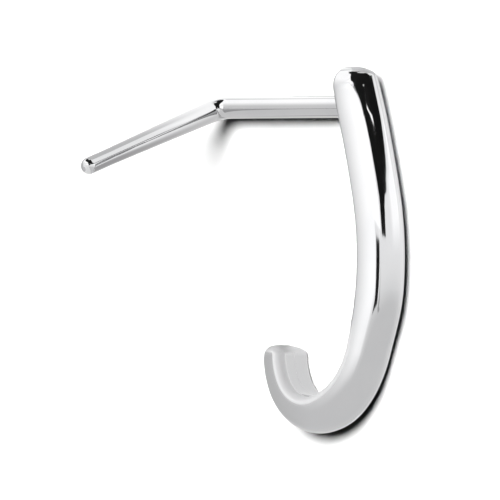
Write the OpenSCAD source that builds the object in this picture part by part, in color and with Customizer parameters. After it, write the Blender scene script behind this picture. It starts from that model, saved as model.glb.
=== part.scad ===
// L-shaped nose stud. A polished J-shaped hook lies along the outside of the nostril and
// curls under its rim. A round wire is soldered to its inner face: the straight post goes
// through the piercing, turns a tight square corner and ends in a leg that holds it in.
// The stud lies on the side of its hook, with the leg standing up. +Y runs up the hook,
// +X is the hook's outer side, and the origin is on the floor under the stud's middle.

/* [Wire] */
// Diameter of the post
wire_d = 0.8; // [0.6:0.05:1]
// Length of the post, from the hook's inner face to the corner of the wire
post_len = 6.65; // [5.5:0.05:8]
// Centre-line radius of the corner
corner_r = 0.6; // [0.5:0.05:1]
// Length of the leg, from the corner of the wire to its round end
leg_len = 7.25; // [5.5:0.05:9]
// Lean of the leg towards the hook's curl, in degrees
leg_lean = 17.8; // [0:0.2:30]
// Diameter of the leg at its free end
tip_d = 0.62; // [0.5:0.02:0.8]
// Length of the even stretch at the leg's free end
tip_len = 1.5; // [1:0.1:2.5]

/* [Hook] */
// Width of the hook's flat inner face
hook_w = 1.7; // [1.5:0.05:1.75]
// Thickness of the hook on its straight limb
hook_t = 1.39; // [1.38:0.01:1.6]
// How much thinner it is ahead of the bend
bend_dip = 0.24; // [0:0.02:0.26]
// How much thinner it is at the curl's end
curl_slimming = 0.27; // [0:0.01:0.28]
// Height of the hook's top above the middle of the post
head_rise = 1.44; // [1:0.02:2]
// Lean of the hook's top end, in degrees from upright
head_lean = 19; // [15:0.2:24]
// Radius of the inner edges
edge_r = 0.12; // [0.08:0.01:0.2]
// Radius of the crease along each side, on the straight limb
crease_r = 0.1; // [0.05:0.01:0.2]
// Radius of the crease round the bend and the curl, where it fades
soft_crease_r = 0.5; // [0.2:0.05:0.5]
// How far the tongue-shaped top end draws in at its inner side
head_inner = 0.5; // [0.3:0.05:0.5]
// How far the top end draws in at its outer side
head_outer = 0.8; // [0.4:0.05:0.8]
// How far the top end draws in across the hook, on each side
head_side = 0.68; // [0.1:0.02:0.7]
// How far the curl's end draws in at its inner side
curl_inner = 0.5; // [0.2:0.05:0.5]
// How far the curl's end draws in at its outer side
curl_outer = 0.42; // [0.2:0.02:0.42]
// How far the curl's end draws in across the hook, on each side
curl_side = 0.56; // [0.2:0.02:0.6]

/* [Hidden] */

// The inner edge of the hook is a chain of arcs from the top end to the curl's end
TURN = 0;    // degrees that the arc turns
RADIUS = 1;  // radius of the arc
hook_arcs = [
    [7.3, 38.6],
    [30.4, 10.15],
    [55.5, 2.76],
    [77.5, 1.12],
    [35, 2.02],
];

// The dip in thickness ahead of the bend: where it is deepest and how far it reaches each
// way, as shares of the hook's length. The curl slims from its own share on.
dip_at = 0.66;
dip_reach = 0.15;
curl_from = 0.76;

// Each end is rounded in quarter ellipses at its inner side, at its outer side and across:
// how far it draws in, and the length of hook that this takes
DEEP = 0;
LONG = 1;
head_ends = [[head_inner, 0.95], [head_outer, 0.37], [head_side, 1]];
curl_ends = [[curl_inner, 0.3], [curl_outer, 0.45], [curl_side, 0.22]];

// The section's crease and roof, as shares of its thickness and its half width
crease_at = 0.62;
crease_half = 0.83;
roof_slope = 36;        // slope of the outer faces, in degrees
fade_from = 0.45;       // share of the length where the crease starts to soften
fade_to = 0.65;         // and where it is softest

edge_steps = 3;         // flats round each edge and crease of the section
nose_steps = 8;         // flats round its outer side
ring_step = 6;          // most degrees between rings round a bend
ring_gap = 0.45;        // most length between rings along the hook
cap_rings = 8;          // rings in each rounded end
shear_len = 1.4;        // length over which the level cut of the top end fades
post_sunk = 0.35;       // how far the post reaches into the hook
wire_fn = 48;

function unit(v) = v / norm(v);

// Points round a corner b between a and c, replaced by an arc of radius r
function fillet(a, b, c, r, steps) =
    let (u = unit(a - b), v = unit(c - b),
         half = acos(u * v) / 2,
         m = b + unit(u + v) * r / sin(half),
         p = b + u * r / tan(half) - m,
         q = b + v * r / tan(half) - m,
         from = atan2(p[1], p[0]),
         turn = (atan2(q[1], q[0]) - from + 540) % 360 - 180)
    [for (i = [0:steps]) m + r * [cos(from + turn * i / steps), sin(from + turn * i / steps)]];

// The hook's section: distance out from the inner face, then across the hook
function section(t, soft) =
    let (half = hook_w / 2,
         crease = [t * crease_at, half * crease_half],
         ridge = crease[0] + crease[1] / tan(roof_slope),
         nose_r = (ridge - t) / (1 / sin(roof_slope) - 1),
         far_edge = [0, -half], near_edge = [0, half],
         near_crease = crease, nose = [ridge, 0], far_crease = [crease[0], -crease[1]])
    concat(
        fillet(far_crease, far_edge, near_edge, edge_r, edge_steps),
        fillet(far_edge, near_edge, near_crease, edge_r, edge_steps),
        fillet(near_edge, near_crease, nose, soft, edge_steps),
        fillet(near_crease, nose, far_crease, nose_r, nose_steps),
        fillet(nose, far_crease, far_edge, soft, edge_steps)
    );

// Where the hook's edge is after a turn on an arc: x, y, heading and length so far.
// The heading is 0 straight down and falls as the hook turns in under the nostril.
function along(from, turn, radius) =
    [from[0] + radius * (cos(from[2] - turn) - cos(from[2])),
     from[1] + radius * (sin(from[2] - turn) - sin(from[2])),
     from[2] - turn,
     from[3] + radius * turn * PI / 180];
function arc_start(i) =
    i == 0 ? [0, head_rise, head_lean, 0]
           : along(arc_start(i - 1), hook_arcs[i - 1][TURN], hook_arcs[i - 1][RADIUS]);

arcs = len(hook_arcs);
hook_end = arc_start(arcs);
hook_len = hook_end[3];

function arc_steps(i) =
    let (turn = hook_arcs[i][TURN], length = turn * PI / 180 * hook_arcs[i][RADIUS])
    ceil(max(turn / ring_step, length / ring_gap));
stations = concat(
    [for (i = [0:arcs - 1], k = [0:arc_steps(i) - 1])
        along(arc_start(i), hook_arcs[i][TURN] * k / arc_steps(i), hook_arcs[i][RADIUS])],
    [hook_end]);

// The station at a length d past the start of an arc
function station(i, d) =
    along(arc_start(i), d / hook_arcs[i][RADIUS] * 180 / PI, hook_arcs[i][RADIUS]);

// A smooth step from 0 to 1, and a smooth hump of height 1 from -1 to 1
function ease(x) = let (c = max(0, min(1, x))) c * c * (3 - 2 * c);
function hump(x) = (1 + cos(180 * min(1, abs(x)))) / 2;

// The hook's thickness and its crease's radius at a share s of its length
function thickness(s) =
    hook_t - bend_dip * hump((s - dip_at) / dip_reach)
        - curl_slimming * ease((s - curl_from) / (1 - curl_from));
function crease_softness(s) =
    crease_r + (soft_crease_r - crease_r) * ease((s - fade_from) / (fade_to - fade_from));

// How far an end has drawn in at its inner side, at its outer side and across, at a length
// past the place where the longest of its three ellipses starts
function longest(ends) = max([for (end = ends) end[LONG]]);
function drawn_in(past, ends) =
    [for (end = ends)
        let (x = (past - longest(ends)) / end[LONG] + 1)
        x <= 0 ? 0 : end[DEEP] * (1 - sqrt(max(0, 1 - x * x)))];

// One ring of the hook: a section at a station, drawn in at the inner side, the outer
// side and across, and cut on a slant by sliding its outer points along the hook
function ring(st, drawn) =
    let (t = thickness(st[3] / hook_len),
         slant = tan(head_lean) * (1 - ease(st[3] / shear_len)),
         out = [cos(st[2]), sin(st[2])],
         down = [sin(st[2]), -cos(st[2])])
    [for (p = section(t, crease_softness(st[3] / hook_len)))
        let (r = drawn[0] + p[0] * (t - drawn[0] - drawn[1]) / t,
             z = p[1] * (1 - drawn[2] / (hook_w / 2)),
             xy = [st[0], st[1]] + out * r + down * r * slant)
        [xy[0], xy[1], z]];

head_long = longest(head_ends);
curl_long = longest(curl_ends);
curl_arc_len = hook_len - arc_start(arcs - 1)[3];
head_cap = [
    for (k = [cap_rings:-1:1])
        let (past = head_long * sin(90 * k / cap_rings))
        ring(station(0, head_long - past), drawn_in(past, head_ends))];
curl_cap = [
    for (k = [1:cap_rings])
        let (past = curl_long * sin(90 * k / cap_rings))
        ring(station(arcs - 1, curl_arc_len - curl_long + past), drawn_in(past, curl_ends))];
body = [
    for (st = stations)
        if (st[3] >= head_long && st[3] <= hook_len - curl_long)
            ring(st, [0, 0, 0])];
rings = concat(head_cap, body, curl_cap);
sides = len(rings[0]);

// The inner face is at x = 0 beside the post, and the stud's box is centred on the origin
face_x = lookup(0, [for (st = stations) [st[1], st[0]]]);
corner_x = face_x - post_len;
hook_x = max([for (q = rings, p = q) p[0]]);
hook_y = [for (q = rings, p = q) p[1]];
lift = max([for (q = rings, p = q) p[2]]);
mid_x = (hook_x + corner_x - wire_d / 2) / 2;
mid_y = (max(hook_y) + min(hook_y)) / 2;

module hook() {
    color("gainsboro")
        polyhedron(
            points = [for (q = rings, p = q) p],
            faces = concat(
                [[for (k = [sides - 1:-1:0]) k]],
                [for (j = [0:len(rings) - 2], k = [0:sides - 1], half = [0, 1])
                    let (n = (k + 1) % sides, a = j * sides, b = (j + 1) * sides)
                    half == 0 ? [a + k, a + n, b + k] : [a + n, b + n, b + k]],
                [[for (k = [0:sides - 1]) (len(rings) - 1) * sides + k]]));
}

// The wire's three stretches start from the point where the post's line meets the leg's.
// The post runs along +X and the leg along +Z.
module post() {
    color("silver")
        translate([corner_r, 0, 0])
            rotate([0, 90, 0])
                cylinder(h = post_len - corner_r + post_sunk, d = wire_d, $fn = wire_fn);
}

// The wire's corner, a quarter ring from the leg's line to the post's
module corner() {
    color("silver")
        translate([corner_r, 0, corner_r])
            rotate([90, 0, 0])
                rotate([0, 0, 180])
                    rotate_extrude(angle = 90, $fn = 4 * wire_fn)
                        translate([corner_r, 0])
                            circle(d = wire_d, $fn = wire_fn);
}

// The leg, drawn down to its even end stretch and rounded off
module leg() {
    taper_len = leg_len - corner_r - tip_len;
    color("silver") {
        translate([0, 0, corner_r])
            cylinder(h = taper_len, d1 = wire_d, d2 = tip_d, $fn = wire_fn);
        translate([0, 0, leg_len - tip_len])
            cylinder(h = tip_len - tip_d / 2, d = tip_d, $fn = wire_fn);
        translate([0, 0, leg_len - tip_d / 2])
            sphere(d = tip_d, $fn = wire_fn);
    }
}

// The stud is soldered into one piece of metal
module nose_stud() {
    translate([-mid_x, -mid_y, lift])
        union() {
            hook();
            translate([corner_x, 0, 0])
                rotate([leg_lean, 0, 0]) {
                    post();
                    corner();
                    leg();
                }
        }
}

nose_stud();
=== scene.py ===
# %% [markdown]
# # An L-shaped nose stud in polished steel
# The stud is one piece of metal: a J-shaped hook that lies along the outside of the
# nostril, with a round wire soldered to its inner face. It could be sculpted from a
# primitive, but every part of it is a profile carried along a line, so it is worked out
# here as arrays of points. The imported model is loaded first, because it settles where
# everything sits.

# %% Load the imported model
from math import cos, pi, radians, sin, tan

import bpy
import numpy as np
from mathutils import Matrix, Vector


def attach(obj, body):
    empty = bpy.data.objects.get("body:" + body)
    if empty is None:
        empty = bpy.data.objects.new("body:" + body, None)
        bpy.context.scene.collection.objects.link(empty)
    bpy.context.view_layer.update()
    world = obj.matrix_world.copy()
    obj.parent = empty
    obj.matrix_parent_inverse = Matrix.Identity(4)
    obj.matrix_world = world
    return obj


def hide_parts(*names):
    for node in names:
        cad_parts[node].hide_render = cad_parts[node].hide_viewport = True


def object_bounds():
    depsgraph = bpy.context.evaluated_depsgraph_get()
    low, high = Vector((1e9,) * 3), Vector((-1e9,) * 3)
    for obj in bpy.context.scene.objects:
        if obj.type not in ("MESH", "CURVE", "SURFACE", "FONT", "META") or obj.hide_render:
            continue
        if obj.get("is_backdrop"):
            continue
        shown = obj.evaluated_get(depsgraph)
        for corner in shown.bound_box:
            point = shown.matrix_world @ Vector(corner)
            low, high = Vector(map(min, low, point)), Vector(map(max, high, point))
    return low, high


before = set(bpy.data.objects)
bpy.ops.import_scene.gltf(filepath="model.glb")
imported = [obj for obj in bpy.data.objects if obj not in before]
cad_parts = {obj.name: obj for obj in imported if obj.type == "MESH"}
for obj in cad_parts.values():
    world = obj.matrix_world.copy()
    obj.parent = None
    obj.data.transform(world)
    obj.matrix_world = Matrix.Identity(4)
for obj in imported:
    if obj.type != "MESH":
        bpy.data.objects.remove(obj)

MM = 0.001
cad_low, cad_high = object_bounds()
print("The solid measures", [round((b - a) / MM, 2) for a, b in zip(cad_low, cad_high)], "mm")

# %% [markdown]
# ## The measures of the piece
# A jeweller would note these on the drawing: the wire, the hook's width and thickness, and
# the arcs that its inner edge follows from the top end to the curl. They are the solid's own
# driving sizes, in millimetres, and repeating them keeps the fine surface on the solid.

# %% The hook's measures
HOOK_ARCS = np.array([      # degrees turned, radius
    (7.3, 38.6),
    (30.4, 10.15),
    (55.5, 2.76),
    (77.5, 1.12),
    (35.0, 2.02),
])
HEAD_RISE = 1.44            # the top end's height above the post
HEAD_LEAN = radians(19.0)   # the top end's lean from upright
HOOK_WIDTH = 1.656          # across the hook, between the outsides of its rounded edges
LIMB_THICK = 1.39           # from the inner face to the outer side
BEND_DIP = 0.24             # how much thinner it is ahead of the bend
CURL_SLIMMING = 0.27        # how much thinner it is at the curl's end
EDGE_R = 0.12               # the inner edges' radius on the limb
CURL_EDGE_R = 0.24          # and on the curl
HEAD_EDGE_R = 0.2           # and at the top end

# %% The wire's measures
WIRE_R = 0.4
TIP_R = 0.31
POST_LEN = 6.65             # from the hook's inner face to the corner
CORNER_R = 0.6              # to the wire's middle line
LEG_LEN = 7.25              # from the corner to the tip
LEG_LEAN = radians(17.8)    # turned about the post, away from straight up
TIP_LEN = 1.5               # the even stretch at the leg's end

# %% [markdown]
# ## The line that the hook follows
# The real hook is bent from a straight bar, so its inner edge is a chain of arcs that run
# smoothly into each other. A hand-drawn spline would do, but arcs keep the curvature even,
# and on a mirror finish any unevenness shows at once in the reflections.

# %% Walk along the chain of arcs
def edge_line(lengths):
    """Place and heading of the inner edge at each length from the top end.

    On an arc of radius r the heading falls by length / r. Its place moves by
    r (cos h - cos h0) outwards and r (sin h - sin h0) upwards, where h0 is the heading that
    the arc starts with. Heading 0 is straight down.
    """
    turns, radii = np.radians(HOOK_ARCS[:, 0]), HOOK_ARCS[:, 1]
    starts = np.concatenate([[0], np.cumsum(turns * radii)])
    headings = HEAD_LEAN - np.concatenate([[0], np.cumsum(turns)])
    ways = np.stack([np.cos(headings), np.sin(headings)], -1)
    moves = radii[:, None] * np.diff(ways, axis=0)
    corners = np.vstack([[0, HEAD_RISE], [0, HEAD_RISE] + np.cumsum(moves, axis=0)])
    arc = np.clip(np.searchsorted(starts, lengths, side="right") - 1, 0, len(turns) - 1)
    heading = headings[arc] - (lengths - starts[arc]) / radii[arc]
    swing = np.stack([np.cos(heading), np.sin(heading)], -1) - ways[arc]
    return corners[arc] + radii[arc][:, None] * swing, heading


HOOK_LEN = float((np.radians(HOOK_ARCS[:, 0]) * HOOK_ARCS[:, 1]).sum())
print(f"The hook's inner edge is {HOOK_LEN:.2f} mm long")

# %% [markdown]
# ## The hook's section
# Seen from its end the bar has a flat inner face, two sides that lean in a little up to a
# crease, and a rounded roof. Nothing on a hand-polished piece is dead flat, so each of these
# is an arc of its own: the sides and the roof turn a few degrees across their width, and
# that slight crown is what spreads a reflection into a soft gradient. The crease is sharp on
# the limb and fades round the bend.

# %% How thick the hook is along its length
DIP_AT, DIP_REACH = 0.66, 0.15          # shares of the hook's length: the thin place, and its reach
CURL_FROM = 0.76                        # and where the curl starts to slim


def ease(x):
    """A smooth step: 3x^2 - 2x^3 between 0 and 1, and level outside."""
    c = np.clip(x, 0, 1)
    return c * c * (3 - 2 * c)


def thickness(share):
    """Even on the limb, less a cosine hump ahead of the bend and a smooth step on the curl."""
    hump = (1 + np.cos(pi * np.minimum(1, np.abs(share - DIP_AT) / DIP_REACH))) / 2
    return LIMB_THICK - BEND_DIP * hump - CURL_SLIMMING * ease((share - CURL_FROM) / (1 - CURL_FROM))


# %% Arcs of the section, from the inner face to the middle of the outer side
SIDE_TILT = np.radians((3.0, 14.0))     # normals from the inner edge to the crease
ROOF_TILT = np.radians((26.0, 46.0))    # normals from the crease to the rounded nose
CREASE_AT = 0.62                        # the crease's share of the thickness
SECTION_STEPS = (4, 12, 22, 14, 24, 26)     # points on flat, inner edge, side, crease, roof, nose


def half_section(thick, edge_r, crease_r, roof_from):
    """Outward and sideways coordinates of the near half of the section, for each ring.

    An arc of radius r whose normal tilts from a to b moves by r (sin b - sin a) outwards and
    r (cos b - cos a) sideways. The side's radius puts the crease at its share of the
    thickness, and the radii of the roof and the nose solve two linear equations, so that
    the arcs end at the full thickness and in the middle of the hook.
    """
    even = np.ones_like(thick)
    a0, a1, a2, a3 = SIDE_TILT[0] * even, SIDE_TILT[1] * even, roof_from, ROOF_TILT[1] * even
    flat = HOOK_WIDTH / 2 - edge_r
    side_r = (CREASE_AT * thick - edge_r * (1 + np.sin(a0))) / (np.sin(a1) - np.sin(a0))
    out = thick - CREASE_AT * thick - crease_r * (np.sin(a2) - np.sin(a1))
    left = (flat + edge_r * np.cos(a0) + side_r * (np.cos(a1) - np.cos(a0))
            + crease_r * (np.cos(a2) - np.cos(a1)))
    roof_out, roof_left = np.sin(a3) - np.sin(a2), np.cos(a2) - np.cos(a3)
    nose_out, nose_left = 1 - np.sin(a3), np.cos(a3)
    whole = roof_out * nose_left - nose_out * roof_left
    roof_r = (out * nose_left - nose_out * left) / whole
    nose_r = (roof_out * left - roof_left * out) / whole

    flat_steps, *arc_steps = SECTION_STEPS
    x = [np.zeros((len(thick), flat_steps))]
    z = [flat[:, None] * np.arange(flat_steps) / flat_steps]
    at_x, at_z = 0 * even, flat
    ends = (-pi / 2 * even, a0, a1, a2, a3, pi / 2 * even)
    arcs = zip(ends[:-1], ends[1:], (edge_r, side_r, crease_r, roof_r, nose_r), arc_steps)
    for a, b, r, n in arcs:
        tilt = a[:, None] + (b - a)[:, None] * np.arange(n) / n
        x.append(at_x[:, None] + r[:, None] * (np.sin(tilt) - np.sin(a)[:, None]))
        z.append(at_z[:, None] + r[:, None] * (np.cos(tilt) - np.cos(a)[:, None]))
        at_x = at_x + r * (np.sin(b) - np.sin(a))
        at_z = at_z + r * (np.cos(b) - np.cos(a))
    return np.column_stack([*x, at_x]), np.column_stack([*z, at_z])


def full_section(*measures):
    """The near half, then the far half as its mirror image."""
    x, z = half_section(*measures)
    return np.hstack([x, x[:, -2:0:-1]]), np.hstack([z, -z[:, -2:0:-1]])


# %% [markdown]
# ## The hook, end to end
# Both ends are rounded over: the curl ends in a soft dome, and the top end in a flat tongue.
# A boolean or a bevel modifier could round them, but it would leave uneven faces just where
# the light catches. Instead the last rings draw in along quarter ellipses, one at the inner
# side, one at the outer side and one across, each with a depth and a length of its own. The
# top end is cut level although the hook leans there, so its outer points slide along.

# %% How the measures change along the hook
HEAD_ENDS = ((0.5, 0.95), (0.8, 0.37), (0.68, 1.0))     # depth and length: inner, outer, across
CURL_ENDS = ((0.5, 0.3), (0.42, 0.45), (0.56, 0.22))


def drawn_in(past, ends):
    """How far an end of the hook has come in at its inner side, outer side and across.

    past is the length beyond the place where the longest of its ellipses starts. An ellipse
    of depth d and length l draws in by d (1 - sqrt(1 - x^2)), where x is the share of l.
    """
    longest = max(length for _, length in ends)
    shares = (np.clip((past - longest) / length + 1, 0, 1) for _, length in ends)
    return [depth * (1 - np.sqrt(1 - x ** 2))[:, None] for (depth, _), x in zip(ends, shares)]


def faded(share, first, last, fade):
    """A measure that goes from its first to its last value along a stretch of the hook."""
    return first + (last - first) * ease((share - fade[0]) / (fade[1] - fade[0]))


# %% Carry the section along the line
RING_GAP, END_RINGS = 0.042, 24     # millimetres between rings, and rings on each rounded end
SHEAR_LEN = 1.4                     # the length over which the level cut fades
CREASE_R, SOFT_CREASE_R = 0.1, 0.5  # the crease on the limb, and round the bend
CREASE_FADE = (0.45, 0.65)          # shares of the hook's length where the crease fades
CURL_FADE = (0.6, 0.78)             # and where the inner edges get rounder
HEAD_FADE = (0.05, 0.12)            # and where they are sharp again past the top end
HEAD_ROOF_TILT = radians(37.0)      # the roof is flatter at the top end
HEAD_ROOF = (0.95, 2.2)             # millimetres over which that fades


def hook_rings():
    """All rings of the hook as an array of rings x points x 3, in millimetres."""
    head, curl = (max(length for _, length in ends) for ends in (HEAD_ENDS, CURL_ENDS))
    curl_from = HOOK_LEN - curl
    quarter = np.sin(np.linspace(pi / 2, 0, END_RINGS + 1))
    middle = np.arange(head, curl_from, RING_GAP)[1:]
    lengths = np.concatenate([head - head * quarter, middle, curl_from + curl * quarter[::-1]])
    at_head, at_curl = drawn_in(head - lengths, HEAD_ENDS), drawn_in(lengths - curl_from, CURL_ENDS)
    inner, outer, across = (a + b for a, b in zip(at_head, at_curl))

    share = lengths / HOOK_LEN
    thick = thickness(share)
    edge_r = faded(share, HEAD_EDGE_R, EDGE_R, HEAD_FADE)
    edge_r = edge_r + faded(share, 0, CURL_EDGE_R - EDGE_R, CURL_FADE)
    crease_r = faded(share, CREASE_R, SOFT_CREASE_R, CREASE_FADE)
    roof_from = faded(lengths, HEAD_ROOF_TILT, ROOF_TILT[0], HEAD_ROOF)
    x, z = full_section(thick, edge_r, crease_r, roof_from)
    x = inner + x * (thick[:, None] - inner - outer) / thick[:, None]
    z = z * (HOOK_WIDTH / 2 - across) / (HOOK_WIDTH / 2)

    place, heading = edge_line(lengths)
    slide = x * (tan(HEAD_LEAN) * (1 - ease(lengths / SHEAR_LEN)))[:, None]
    out, down = np.cos(heading)[:, None], np.sin(heading)[:, None]
    outward = place[:, :1] + x * out + slide * down
    upward = place[:, 1:] + x * down - slide * out
    return np.stack([outward, upward, z], -1)


rings = hook_rings()
low, high = rings.min((0, 1)), rings.max((0, 1))
print("The hook spans", np.round(high - low, 2), "mm")

# %% [markdown]
# ## From arrays to a mesh
# A swept form is a grid: one row of points for each ring along it. Such a grid could be
# drawn with a curve's bevel, but then its normals and its UVs are out of our hands. Here
# the points and faces are computed as whole arrays, and the UV map holds real millimetres
# along and around the form, so that polishing marks can follow the metal.

# %% Faces and lengths of a form made of rings
def ring_faces(count, sides):
    """Point numbers of the quads between the rings, and of a fan that closes each end.

    Quad (i, k) joins points k and k + 1 of ring i to the same points of ring i + 1. The
    middles of the first and the last ring are numbered after all the rings' points. Faces
    look outwards if the points run anticlockwise, seen in the direction from ring to ring.
    """
    i, k = np.meshgrid(np.arange(count - 1), np.arange(sides), indexing="ij")
    n = (k + 1) % sides
    quads = np.stack([i * sides + k, (i + 1) * sides + k, (i + 1) * sides + n, i * sides + n], -1)
    k = np.arange(sides)
    n = (k + 1) % sides
    last = (count - 1) * sides
    start_fan = np.stack([np.full(sides, count * sides), k, n], -1)
    end_fan = np.stack([np.full(sides, count * sides + 1), last + n, last + k], -1)
    return quads.reshape(-1, 4), np.vstack([start_fan, end_fan])


def steps_along(rings):
    """From each ring to the next, the mean distance between their points."""
    return np.linalg.norm(np.diff(rings, axis=0), axis=-1).mean(1)


def ring_lengths(rings):
    """For each point, the mean length along the rings and the length around its own ring."""
    count, sides = rings.shape[:2]
    step_around = np.linalg.norm(rings - np.roll(rings, 1, axis=1), axis=-1)[:, 1:]
    along = np.concatenate([[0], np.cumsum(steps_along(rings))])
    around = np.hstack([np.zeros((count, 1)), np.cumsum(step_around, axis=1)])
    u = np.concatenate([np.repeat(along, sides), [along[0], along[-1]]])
    v = np.concatenate([around.ravel(), [0, 0]])
    return u, v


# %% Build a closed piece from rings of points
def placed(name, data):
    """A new object in the scene that holds the data."""
    piece = bpy.data.objects.new(name, data)
    bpy.context.scene.collection.objects.link(piece)
    return piece


def ring_piece(name, rings):
    """One mesh from rings of points, an array of rings x sides x 3 in metres.

    UV is the length along and around the rings, in millimetres.
    """
    count, sides = rings.shape[:2]
    points = np.vstack([rings.reshape(-1, 3), rings[0].mean(0), rings[-1].mean(0)])
    quads, fans = ring_faces(count, sides)
    loops = np.concatenate([quads.ravel(), fans.ravel()])
    sizes = np.concatenate([np.full(len(quads), 4), np.full(len(fans), 3)])
    starts = np.concatenate([[0], np.cumsum(sizes)[:-1]])

    mesh = bpy.data.meshes.new(name)
    mesh.vertices.add(len(points))
    mesh.vertices.foreach_set("co", points.astype(np.float32).ravel())
    mesh.loops.add(len(loops))
    mesh.loops.foreach_set("vertex_index", loops.astype(np.int32))
    mesh.polygons.add(len(sizes))
    mesh.polygons.foreach_set("loop_start", starts.astype(np.int32))
    mesh.update(calc_edges=True)

    u, v = (lengths / MM for lengths in ring_lengths(rings))
    uv = mesh.uv_layers.new(name="metal")
    uv.data.foreach_set("uv", np.stack([u[loops], v[loops]], -1).astype(np.float32).ravel())
    mesh.shade_smooth()
    print(f"{name}: {count} rings of {sides} points, {len(quads) * 2 + len(fans)} triangles")
    return placed(name, mesh)


# %% [markdown]
# ## Into the part's frame
# The stud lies on the side of its hook. The solid's own box says where that is: the hook's
# outer side touches the box at +X, it is centred in the box along Y, and its lowest ring
# points touch the floor.

# %% Find the place of the hook and of the post
FACE_PLACES = 400           # looked at along the first third of the hook's inner edge

hook_shift = np.array([
    cad_high[0] / MM - high[0],
    (cad_low[1] + cad_high[1]) / 2 / MM - (low[1] + high[1]) / 2,
    -low[2],
])
hook = ring_piece("hook", (rings + hook_shift) * MM)

edge_points, edge_headings = edge_line(np.linspace(0, HOOK_LEN / 3, FACE_PLACES))
beside_post = np.argmin(np.abs(edge_points[:, 1]))
FACE = np.array([edge_points[beside_post, 0], 0, 0]) + hook_shift
FACE_HEADING = edge_headings[beside_post]
print("The post meets the hook at", np.round(FACE, 3), "mm")

# %% [markdown]
# ## The wire
# The post, the tight corner and the leg are one length of round wire, drawn down a little
# towards a rounded tip. A curve object with a bevel could make it. A tube of computed rings
# gives the taper, the rounded tip and the small collar of solder where the post meets the
# hook in one surface. That collar follows the lean of the hook's face, so the rings near it
# are sheared to lie along the face. The circle's points run clockwise, so the wire's faces
# look inwards. A renderer that draws both sides of a face, as here, doesn't show that.

# %% The wire's line and its radius
SOLDER_R = 0.1                              # the solder collar's hollow radius
POST_SUNK = 0.25                            # how far the post runs into the hook
CORNER_FROM = POST_SUNK + POST_LEN - CORNER_R   # the wire's length up to the corner
LEG_FROM = CORNER_FROM + CORNER_R * pi / 2  # and up to the leg
WIRE_LEN = LEG_FROM + LEG_LEN - CORNER_R    # and up to the tip


def wire_line(lengths):
    """Place and direction of the wire's middle line, from inside the hook to the leg's tip.

    The post runs along -X, the corner is a quarter circle and the leg runs along +Z. The
    whole is then turned about X by the leg's lean.
    """
    bend = np.clip((lengths - CORNER_FROM) / CORNER_R, 0, pi / 2)
    leg = np.maximum(lengths - CORNER_FROM - CORNER_R * pi / 2, 0)
    x = POST_SUNK - np.minimum(lengths, CORNER_FROM) - CORNER_R * np.sin(bend)
    z = CORNER_R * (1 - np.cos(bend)) + leg
    zero = np.zeros_like(x)
    return np.stack([x, zero, z], -1), np.stack([-np.cos(bend), zero, np.sin(bend)], -1)


def wire_radius(lengths):
    """Even on the post, drawn down along the leg, even again, and a round tip.

    Near the hook the solder adds r - sqrt(r^2 - (r - d)^2) at a distance d from its face.
    """
    taper = (lengths - LEG_FROM) / (LEG_LEN - CORNER_R - TIP_LEN)
    radius = WIRE_R + (TIP_R - WIRE_R) * np.clip(taper, 0, 1)
    near = np.clip(SOLDER_R - np.abs(lengths - POST_SUNK), 0, SOLDER_R)
    solder = SOLDER_R - np.sqrt(SOLDER_R ** 2 - near ** 2)
    to_tip = np.clip(WIRE_LEN - lengths, 0, TIP_R)
    return (radius + solder) * np.sqrt(1 - (1 - to_tip / TIP_R) ** 2)


# %% Carry a circle along it
WIRE_SIDES = 72
WIRE_RING_GAP = 0.06                    # millimetres between rings on the even stretches
TIP_PLACES, COLLAR_PLACES = 20, 17      # rings are closer on the round tip and on the solder
COLLAR_FADE = 1.0                       # millimetres past the solder over which the lean fades

tip_at = WIRE_LEN - TIP_R
round_tip = tip_at + TIP_R * np.sin(np.linspace(0, pi / 2, TIP_PLACES))[1:-1]
collar = POST_SUNK + SOLDER_R * np.linspace(-1, 1, COLLAR_PLACES)
at = np.unique(np.concatenate([np.arange(0, tip_at, WIRE_RING_GAP), collar, [tip_at], round_tip]))
line, direction = wire_line(at)
radius = wire_radius(at)[:, None, None]
side = np.array([0, 1.0, 0])
up = np.cross(direction, side)
turn = np.linspace(0, 2 * pi, WIRE_SIDES, endpoint=False)[None, :, None]
circles = line[:, None] + radius * (side * np.cos(turn) + up[:, None] * np.sin(turn))
lean = np.array([[1, 0, 0], [0, cos(LEG_LEAN), -sin(LEG_LEAN)], [0, sin(LEG_LEAN), cos(LEG_LEAN)]])
circles = circles @ lean.T
collar_share = 1 - ease((at - POST_SUNK - 2 * SOLDER_R) / COLLAR_FADE)
circles[..., 0] -= tan(FACE_HEADING) * circles[..., 1] * collar_share[:, None]
wire = ring_piece("wire", (circles + FACE) * MM)

# %% [markdown]
# ## Polished steel
# The photograph shows a mirror polish. A plain metallic shader would already reflect, but
# it would look like a computer's mirror. Real buffing leaves three things: a very slight
# waviness that makes the edges of reflections waver, hairlines that run along the metal, and
# a trace of haze that comes and goes. The waviness and the haze read object coordinates,
# because they have no direction, and the hairlines read the UV map, which follows the metal.
# The inner edge of the curl shows a soft sheen instead of a sharp line, because a buffing wheel
# hardly reaches it, so a band of the UV map is satin there. Its base colour is also made lighter
# there, as a painted sheen.

# %% Node helpers
def add(tree, kind, **values):
    """A node of a kind, with its properties and its input defaults set by name."""
    node = tree.nodes.new(kind)
    for key, value in values.items():
        if key in node.inputs.keys():
            node.inputs[key].default_value = value
        else:
            setattr(node, key, value)
    return node


def ranged(tree, source, over, to=(0.0, 1.0)):
    """Map a value smoothly: as it goes through the range over, the result goes through to."""
    node = add(tree, "ShaderNodeMapRange", interpolation_type="SMOOTHSTEP")
    limits = zip(("From Min", "From Max", "To Min", "To Max"), (*over, *to))
    for name, value in limits:
        node.inputs[name].default_value = value
    tree.links.new(source, node.inputs["Value"])
    return node.outputs["Result"]


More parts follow.
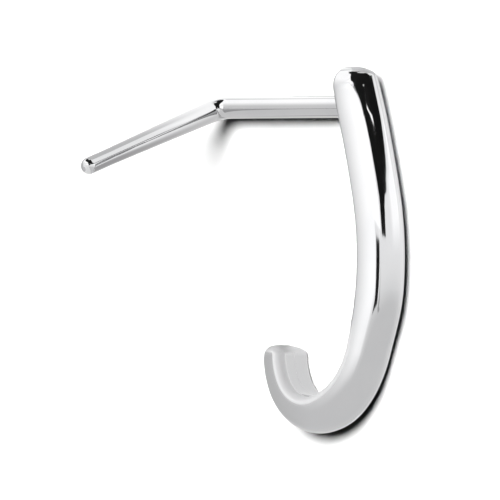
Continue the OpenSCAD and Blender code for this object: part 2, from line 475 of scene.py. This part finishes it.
def combined(tree, operation, *sources):
    """The result of a math node. Each source is another node's output, or a number."""
    node = add(tree, "ShaderNodeMath", operation=operation)
    for source, socket in zip(sources, node.inputs):
        if isinstance(source, float):
            socket.default_value = source
        else:
            tree.links.new(source, socket)
    return node.outputs["Value"]


def noise(tree, where, settings):
    """The value of a noise texture at a place."""
    node = add(tree, "ShaderNodeTexNoise", **settings)
    tree.links.new(where, node.inputs["Vector"])
    return node.outputs["Fac"]


# %% Where the metal is satin, with a painted sheen
# The satin band also gets a lighter base colour, a painted sheen; the curl's rounded end gets a
# share of both.
SATIN_SHEEN_ALONG = (9.6, 11.2)   # millimetres of the UV map over which the satin edge comes in
SATIN_SHEEN_FROM = (0.35, 0.55)   # millimetres round the section over which it starts
SATIN_SHEEN_TO = (0.8, 1.1)       # and over which it ends
END_SATIN_SHEEN = 0.35            # how satin the curl's rounded end is beside the satin edge
hook_uv_len = float(steps_along(rings).sum())
SATIN_SHEEN_END = (hook_uv_len - 0.8, hook_uv_len - 0.5)      # where along it the rounded end starts
print(f"The hook's UV map is {hook_uv_len:.2f} mm long")


def satin_and_sheen_share(tree, uv):
    """1 on the satin edge, END_SATIN_SHEEN on the curl's rounded end, and 0 on the polish.

    The share makes the metal satin and also paints a sheen into it, as a lighter base colour. The
    edge is a product of smooth steps: one along the metal, one up and one down round it. The larger
    of the edge and the end counts. The wire has this material too, and its UV map starts at 0 as
    well, so a strip on the leg's side away from the camera, which reaches round its tip, is satin
    with a painted sheen too.
    """
    metal = add(tree, "ShaderNodeSeparateXYZ")
    tree.links.new(uv, metal.inputs["Vector"])
    along, around = metal.outputs["X"], metal.outputs["Y"]
    reached = ranged(tree, along, SATIN_SHEEN_ALONG)
    started = combined(tree, "MULTIPLY", reached, ranged(tree, around, SATIN_SHEEN_FROM))
    edge = combined(tree, "MULTIPLY", started, ranged(tree, around, SATIN_SHEEN_TO, (1.0, 0.0)))
    return combined(tree, "MAXIMUM", edge, ranged(tree, along, SATIN_SHEEN_END, (0.0, END_SATIN_SHEEN)))


# %% The metal
STEEL = (0.55, 0.55, 0.555, 1)
STEEL_DULLER = (0.525, 0.527, 0.535, 1)
# The satin band's lighter base colour below is a painted sheen.
PAINTED_SHEEN_STEEL = (0.77, 0.77, 0.775, 1)
SATIN = 0.85                        # roughness that satin metal has on top of the polish
HAZE = {"Scale": 420.0, "Detail": 3.0, "Roughness": 0.5}
HAZE_DULLS = (0.35, 0.75)           # the haze over which the tone gets duller
HAZE_ROUGHENS = (0.3, 0.7)          # the haze over which the polish gets rougher
POLISH = (0.035, 0.06)              # from that roughness to that
HAIRLINES = {"Scale": 1.0, "Detail": 4.0, "Roughness": 0.65}
HAIR_STRETCH = (0.35, 60.0, 1.0)    # long along the metal and fine across it
HAIR_SHOWS = (0.55, 0.8)            # the deepest hairlines are the rougher ones
HAIR_ROUGH = (0.0, 0.02)
HAIR_BUMP = {"Strength": 0.06, "Distance": 0.000002}
WAVES = {"Scale": 900.0, "Detail": 1.0, "Roughness": 0.4}
WAVE_BUMP = {"Strength": 0.12, "Distance": 0.00002}


def polished_steel():
    """Haze, hairlines and satin change roughness, haze dulls the tone, and satin paints a sheen into
    it; waves and hairlines are bumps.
    """
    material = bpy.data.materials.new("polished_steel")
    material.use_nodes = True
    tree = material.node_tree
    shader = tree.nodes["Principled BSDF"]
    shader.inputs["Metallic"].default_value = 1.0
    place = add(tree, "ShaderNodeTexCoord")
    stretched = add(tree, "ShaderNodeMapping", Scale=HAIR_STRETCH)
    tree.links.new(place.outputs["UV"], stretched.inputs["Vector"])
    haze = noise(tree, place.outputs["Object"], HAZE)
    hairlines = noise(tree, stretched.outputs["Vector"], HAIRLINES)
    waves = noise(tree, place.outputs["Object"], WAVES)
    # This share sets both the satin roughness and the painted sheen.
    satin = satin_and_sheen_share(tree, place.outputs["UV"])

    tone = add(tree, "ShaderNodeMix", data_type="RGBA", A=STEEL, B=STEEL_DULLER)
    tree.links.new(ranged(tree, haze, HAZE_DULLS), tone.inputs["Factor"])
    # The satin band's base colour is mixed towards a lighter steel: a painted sheen.
    painted_sheen = add(tree, "ShaderNodeMix", data_type="RGBA", B=PAINTED_SHEEN_STEEL)
    tree.links.new(satin, painted_sheen.inputs["Factor"])
    tree.links.new(tone.outputs["Result"], painted_sheen.inputs["A"])
    tree.links.new(painted_sheen.outputs["Result"], shader.inputs["Base Color"])

    hazy = ranged(tree, haze, HAZE_ROUGHENS, POLISH)
    polish = combined(tree, "ADD", hazy, ranged(tree, hairlines, HAIR_SHOWS, HAIR_ROUGH))
    rough = combined(tree, "MULTIPLY_ADD", satin, SATIN, polish)
    tree.links.new(rough, shader.inputs["Roughness"])

    wavy = add(tree, "ShaderNodeBump", **WAVE_BUMP)
    tree.links.new(waves, wavy.inputs["Height"])
    scored = add(tree, "ShaderNodeBump", **HAIR_BUMP)
    tree.links.new(hairlines, scored.inputs["Height"])
    tree.links.new(wavy.outputs["Normal"], scored.inputs["Normal"])
    tree.links.new(scored.outputs["Normal"], shader.inputs["Normal"])
    return material


steel = polished_steel()
for piece in (hook, wire):
    piece.data.materials.append(steel)
    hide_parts("nose_stud")
    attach(piece, "root")
print("Polished steel on", hook.name, "and", wire.name)

# %% [markdown]
# ## The floor
# The stud is shown on a bare white surface. The surface is lit until it is just white, so
# only the shadows mark it. It is hidden from reflections, because the tent and the patches
# of floor below stand in for it there: a shadow mirrored in the metal would darken the sides
# that the photograph shows bright.

# %% A plain pale floor
FLOOR_HALF = 0.6                            # metres
FLOOR_WHITE = 0.9                           # the share of light that it sends back
FLOOR_ROUGH, FLOOR_SHINE = 0.9, 0.1

corners = [(x * FLOOR_HALF, y * FLOOR_HALF, 0.0) for x, y in ((-1, -1), (1, -1), (1, 1), (-1, 1))]
square = bpy.data.meshes.new("floor")
square.from_pydata(corners, [], [(0, 1, 2, 3)])
floor = placed("floor", square)

paper = bpy.data.materials.new("floor_white")
paper.use_nodes = True
paper_shader = paper.node_tree.nodes["Principled BSDF"]
paper_shader.inputs["Base Color"].default_value = (FLOOR_WHITE, FLOOR_WHITE, FLOOR_WHITE, 1)
paper_shader.inputs["Roughness"].default_value = FLOOR_ROUGH
paper_shader.inputs["Specular IOR Level"].default_value = FLOOR_SHINE
floor.data.materials.append(paper)
floor.visible_glossy = False
floor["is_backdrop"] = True
print(f"The floor is {2 * FLOOR_HALF:.1f} m wide")

# %% [markdown]
# ## The studio that the metal mirrors
# A mirror shows nothing but its surroundings, so the surroundings are the picture. The
# photograph's reflections look like those of a pale tent with a brighter softbox over its
# left side, and the black wedge at the top of the hook is taken as the dark front of the
# camera. A photograph of a studio could be wrapped around the scene, but a tent with a few
# cards says plainly what is reflected where. Every direction is given by two angles: across
# is measured from straight up towards the hook's outer side, and along is measured towards
# the hook's top end.

# %% Light that reaches the camera by way of the metal alone
FLOOR_MET = 0.5         # between a diffuse depth of 0, nothing met yet, and 1, the floor met


def off_the_floor(tree):
    """1 on a path from the camera that hasn't met the floor yet, and 0 past it."""
    path = add(tree, "ShaderNodeLightPath")
    return combined(tree, "LESS_THAN", path.outputs["Diffuse Depth"], FLOOR_MET)


# %% The tent: level below, brighter towards the outer side and the top end
TENT_LEFT, TENT_LEVEL, TENT_RIGHT = 0.8, 0.96, 1.45
LEFT_OVER = (-1.0, -0.6)        # the stretch of X over which it goes from left to level
RIGHT_OVER = (-0.45, 0.2)       # and from level to right
TOP_OVER = (-0.45, 0.12)        # the stretch of Y over which it does so too
BACKDROP = 1.1                  # what the camera itself sees past the floor
WHITE_LIGHT = (1, 1, 1, 1)


def tent():
    """A world whose brightness follows the direction, and that leaves the floor to the lamp.

    It is TENT_LEVEL, less a smooth step towards -X, and more by the product of two smooth
    steps, towards +X and towards +Y. It is dark for what the floor sees, also by way of the
    metal, and an even white for what the camera sees.
    """
    world = bpy.data.worlds.new("tent")
    world.use_nodes = True
    tree = world.node_tree
    tree.nodes.clear()
    way = add(tree, "ShaderNodeTexCoord")
    split = add(tree, "ShaderNodeSeparateXYZ")
    tree.links.new(way.outputs["Generated"], split.inputs["Vector"])
    right = ranged(tree, split.outputs["X"], RIGHT_OVER)
    top = ranged(tree, split.outputs["Y"], TOP_OVER, (0.0, TENT_RIGHT - TENT_LEVEL))
    left = ranged(tree, split.outputs["X"], LEFT_OVER, (TENT_LEFT, TENT_LEVEL))
    level = combined(tree, "MULTIPLY_ADD", right, top, left)
    lit = combined(tree, "MULTIPLY", level, off_the_floor(tree))
    inside = add(tree, "ShaderNodeBackground", Color=WHITE_LIGHT)
    tree.links.new(lit, inside.inputs["Strength"])
    backdrop = add(tree, "ShaderNodeBackground", Color=WHITE_LIGHT, Strength=BACKDROP)
    ray = add(tree, "ShaderNodeLightPath")
    pick = add(tree, "ShaderNodeMixShader")
    tree.links.new(ray.outputs["Is Camera Ray"], pick.inputs["Fac"])
    tree.links.new(inside.outputs["Background"], pick.inputs[1])
    tree.links.new(backdrop.outputs["Background"], pick.inputs[2])
    output = add(tree, "ShaderNodeOutputWorld")
    tree.links.new(pick.outputs["Shader"], output.inputs["Surface"])
    return world


bpy.context.scene.world = tent()
bpy.context.scene.world.cycles_visibility.diffuse = False
print(f"The tent's radiance goes from {TENT_LEFT} to {TENT_RIGHT}")

# %% Glowing patches that only reflections see
def patch_shares(steps):
    """u and v, from 0 to 1, at the points of a square grid."""
    return np.meshgrid(*[np.linspace(0, 1, steps + 1)] * 2, indexing="ij")


def patch_mesh(name, points, u, v):
    """A mesh over a square grid of points, with the shares u and v as its UV map."""
    row = len(u)
    i, k = np.meshgrid(*[np.arange(row - 1)] * 2, indexing="ij")
    here, beyond = i * row + k, (i + 1) * row + k
    quads = np.stack([here, beyond, beyond + 1, here + 1], -1).reshape(-1, 4)
    mesh = bpy.data.meshes.new(name)
    mesh.from_pydata(points.reshape(-1, 3).tolist(), [], quads.tolist())
    uv = mesh.uv_layers.new(name="card")
    shares = np.stack([u.ravel(), v.ravel()], -1)[quads.ravel()]
    uv.data.foreach_set("uv", shares.astype(np.float32).ravel())
    return mesh


def card_material(name, radiance, soft):
    """Emission of one strength, fading to clear over the soft edges, and clear past the floor."""
    material = bpy.data.materials.new(name)
    material.use_nodes = True
    tree = material.node_tree
    tree.nodes.clear()
    place = add(tree, "ShaderNodeUVMap", uv_map="card")
    split = add(tree, "ShaderNodeSeparateXYZ")
    tree.links.new(place.outputs["UV"], split.inputs["Vector"])
    cover = off_the_floor(tree)
    for axis, share, edge in zip("XXYY", soft, (0.0, 1.0, 0.0, 1.0)):
        if share:
            over = sorted((edge, abs(edge - share)))
            fade = ranged(tree, split.outputs[axis], over, (edge, 1.0 - edge))
            cover = combined(tree, "MULTIPLY", cover, fade)
    clear = add(tree, "ShaderNodeBsdfTransparent")
    glow = add(tree, "ShaderNodeEmission", Strength=radiance)
    mix = add(tree, "ShaderNodeMixShader")
    tree.links.new(cover, mix.inputs["Fac"])
    tree.links.new(clear.outputs["BSDF"], mix.inputs[1])
    tree.links.new(glow.outputs["Emission"], mix.inputs[2])
    output = add(tree, "ShaderNodeOutputMaterial")
    tree.links.new(mix.outputs["Shader"], output.inputs["Surface"])
    return material


def only_mirrored(mesh, radiance, soft):
    """Put the mesh into the scene as a glowing stage piece that only reflections see."""
    piece = placed(mesh.name, mesh)
    piece.data.materials.append(card_material(mesh.name, radiance, soft))
    piece.visible_camera = piece.visible_diffuse = piece.visible_shadow = False
    piece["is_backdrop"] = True
    print(f"{mesh.name}: radiance {radiance}, seen only in the metal")


# %% Cards of light and of black
SLIT_FAR, CARD_FAR, BACK_FAR, BOX_FAR, LEFT_FAR = 2.4, 2.5, 2.6, 2.7, 2.75   # metres, nearest first
CARD_STEPS = 48


def card(name, left, right, radiance, soft=(0, 0, 0, 0), far=CARD_FAR):
    """A patch of a sphere round the stud. A nearer card covers the ones behind it.

    left and right are the patch's two edges, each a list of (across, along) in degrees from
    bottom to top. The patch is ruled between them: (1 - u) left(v) + u right(v). A direction's
    place is far (sin across cos along, sin along, cos across cos along). soft gives the share
    of the patch over which each edge fades: left, right, bottom, top.
    """
    u, v = patch_shares(CARD_STEPS)
    left, right = (
        np.radians([np.interp(v, np.linspace(0, 1, len(edge)), values) for values in zip(*edge)])
        for edge in (left, right))
    across, along = (1 - u) * left + u * right
    way = [np.sin(across) * np.cos(along), np.sin(along), np.cos(across) * np.cos(along)]
    only_mirrored(patch_mesh(name, far * np.stack(way, -1), u, v), radiance, soft)


# %% The softboxes
WHITE = 2.0
card("softbox", [(-50, -15), (-50, 6)], [(10, -15), (10, 6)],
     radiance=1.85, soft=(0.53, 0, 0.57, 0), far=BOX_FAR)
card("softbox_high", [(-50, 6), (-50, 22)], [(31, 6), (31, 22)],
     radiance=WHITE, soft=(0.4, 0, 0, 0), far=BOX_FAR)
card("softbox_top", [(-40, 18), (-40, 80)], [(27, 22), (27, 80)],
     radiance=WHITE, soft=(0.2, 0, 0.2, 0), far=BOX_FAR)
card("softbox_left", [(-62, 4), (-75, 30), (-105, 50), (-140, 80)], [(-18, 4), (-18, 80)],
     radiance=1.8, soft=(0.15, 0.15, 0.45, 0), far=LEFT_FAR)
card("softbox_side", [(23, -12), (23, 5.5)], [(26, -10), (26, 5.5)],
     radiance=1.75, soft=(0.2, 0.2, 0.2, 0), far=BOX_FAR)
card("floor_glow", [(80, 0), (84, 22)], [(155, 0), (155, 22)],
     radiance=1.8, soft=(0.3, 0.1, 0.5, 0.1), far=BOX_FAR)

# %% The camera's dark front, two slits in it and the tent's back
BLACK = 0.012
card("camera_front",
     [(35, 5), (34.5, 9), (36.5, 13.5), (36, 16), (35, 19), (30, 22), (29.5, 25), (29, 29),
      (25, 36), (14, 46), (-5, 49), (-85, 54), (-120, 78)],
     [(50, 5), (51, 9), (56, 14), (66, 18), (84, 20.5), (97, 21.8), (112, 22.5), (130, 23.5),
      (131, 27), (107, 33), (95, 48), (110, 66), (150, 88)],
     radiance=BLACK)
card("lamp_slit", [(47, 25.9), (62, 25.4), (73, 25.7)], [(47, 27.0), (62, 26.5), (73, 26.5)],
     radiance=2.3, soft=(0.1, 0.1, 0.04, 0.04), far=SLIT_FAR)
card("grey_slit", [(28.5, 19.5), (28.5, 23)], [(33, 19.5), (32, 23)],
     radiance=0.5, soft=(0.1, 0.5, 0.2, 0.2), far=SLIT_FAR)
card("tent_back", [(150, 12), (150, 80)], [(250, 12), (250, 80)],
     radiance=0.85, soft=(0.15, 0.1, 0.2, 0), far=BACK_FAR)

# %% The dark gaps between the softboxes
card("dark_bar", [(8.5, -13), (12, -9), (12.4, 4)], [(25, -13.5), (24, -9), (25, 4)],
     radiance=0.02, soft=(0, 0, 0.12, 0.05))
card("grey_bar", [(40, -21), (30.5, -16), (28, -9), (26, 2)],
     [(45, -20), (36, -16), (31.5, -9), (29, 2)],
     radiance=0.5, soft=(0.3, 0.3, 0.15, 0.5))

# %% [markdown]
# ## The floor as the metal sees it
# The leg stands up from the floor and mirrors it from the corner outwards, and so do the left edges
# of the hook. There the photograph shows a bright floor above the post, a greyer one below it, which
# lies in shade, and the dark edge of a shadow beside the hook's top end. A lit floor could give all
# that only with its shadows in just the right places, so glowing patches lie on it instead, seen
# only in the metal: a painted reflection of the floor's light, its shade and the shadow's edge.

# %% Patches of floor
PATCH_HEIGHT = 0.01     # millimetres from layer to layer, so that no two fight for one place
PATCH_STEPS = 8


def floor_patch(name, bottom, top, radiance, soft, layer=1):
    """A flat patch ruled between its bottom and top edges, each a pair of (x, y) in mm."""
    u, v = patch_shares(PATCH_STEPS)
    ends = np.array([bottom, top], dtype=float)
    bottom_line, top_line = ((1 - u)[..., None] * a + u[..., None] * b for a, b in ends)
    flat = (1 - v)[..., None] * bottom_line + v[..., None] * top_line
    points = np.concatenate([flat, np.full_like(flat[..., :1], PATCH_HEIGHT * layer)], -1) * MM
    only_mirrored(patch_mesh(name, points, u, v), radiance, soft)


# Painted reflections of the floor: the patch below the post is painted shade, and the thin patch
# beside the top end is a painted shadow's edge.
floor_patch("floor_above", [(-13, 5.5), (2.4, 5.5)], [(-13, 17), (2.4, 17)],
            radiance=1.68, soft=(0.5, 0.2, 0.08, 0.75))
floor_patch("floor_shade_below", [(-7, -5), (2.2, -5)], [(-7, 4.0), (2.2, 4.0)],
            radiance=0.55, soft=(0.4, 0.05, 0.2, 0.5))
floor_patch("floor_shadow_edge", [(-2.2, 5.7), (2.4, 6.6)], [(-2.2, 6.4), (2.4, 7.4)],
            radiance=0.7, soft=(0.2, 0, 0.4, 0.4), layer=3)
floor_patch("floor_curl", [(-1.6, -6.4), (2.3, -6.4)], [(-1.6, -2.2), (2.3, -2.2)],
            radiance=1.12, soft=(0.1, 0, 0, 0.2), layer=2)

# %% [markdown]
# ## The lamp
# One soft lamp stands high on the side of the hook's top end and draws the narrow shadow that
# hugs the lower right of the hook and the post. It is wide enough to blur the shadow of the
# leg, which stands up from the floor. The tent and the cards are already dark for light on its
# way to the floor, so the metal throws none of their light into the shadow.

# %% A soft key lamp for the floor
FLOOR_RADIANCE = 1.8                        # well over white, where no shadow falls
LAMP_WAY = Vector((0.4, 0.36, 1.0)).normalized()
LAMP_FAR, LAMP_ANGLE = 0.35, radians(33)    # metres from the stud, and how wide it is from there

lamp_data = bpy.data.lights.new("key", "AREA")
lamp_data.shape = "DISK"
lamp_data.size = 2 * LAMP_FAR * tan(LAMP_ANGLE / 2)
# The floor's radiance is its whiteness x energy x the cosine of the slant / (pi x far)^2.
lamp_data.energy = FLOOR_RADIANCE * pi ** 2 * LAMP_FAR ** 2 / (FLOOR_WHITE * LAMP_WAY.z)
lamp = placed("key", lamp_data)
lamp.location = LAMP_WAY * LAMP_FAR
lamp.rotation_euler = LAMP_WAY.to_track_quat("Z", "Y").to_euler()
lamp.visible_glossy = False
print(f"Key lamp of {lamp_data.size / MM:.0f} mm and {lamp_data.energy:.2f} W")

# %% [markdown]
# ## The camera
# The photograph looks at the stud from halfway between its side and its outer face, level
# with the post, through a long lens. The view's middle is found from the post: in the
# photograph it lies above and to the right of the middle of the frame.

# %% Place the camera as the photograph's was
WIRE_PIXELS = 22.3                  # how thick the wire is in the photograph
PIXEL = 2 * WIRE_R / WIRE_PIXELS    # millimetres
FRAME_PIXELS = 500
POST_END_PIXEL = (350.7, 106.6)     # where the post's middle line meets the hook's face
VIEW_TILT = radians(45)             # from straight down, towards the hook's outer side
LENS, SENSOR = 1200.0, 36.0
CLIP_NEAR, CLIP_FAR = 0.01, 5.0

to_camera = Vector((sin(VIEW_TILT), 0, cos(VIEW_TILT)))
to_right = Vector((cos(VIEW_TILT), 0, -sin(VIEW_TILT)))
right_of_middle = (POST_END_PIXEL[0] - FRAME_PIXELS / 2) * PIXEL
above_middle = (FRAME_PIXELS / 2 - POST_END_PIXEL[1]) * PIXEL
middle = (Vector(FACE) - to_right * right_of_middle - Vector((0, above_middle, 0))) * MM

camera_data = bpy.data.cameras.new("camera")
camera_data.lens, camera_data.sensor_width = LENS, SENSOR
camera_data.clip_start, camera_data.clip_end = CLIP_NEAR, CLIP_FAR
camera = placed("camera", camera_data)
distance = FRAME_PIXELS * PIXEL * MM * LENS / SENSOR
camera.location = middle + to_camera * distance
camera.rotation_euler = (0, VIEW_TILT, 0)
bpy.context.scene.camera = camera
bpy.context.scene.view_settings.view_transform = "Standard"
print(f"The camera is {distance:.3f} m away and looks at", [round(c / MM, 2) for c in middle], "mm")

# %% [markdown]
# ## Last sizes
# The solid's box is printed at the start, and the dressed piece's box here. The dressed
# piece has to stay in the solid's box.

# %% Print the dressed piece's box
low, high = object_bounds()
print("Visual box", [round((b - a) / MM, 2) for a, b in zip(low, high)], "mm")
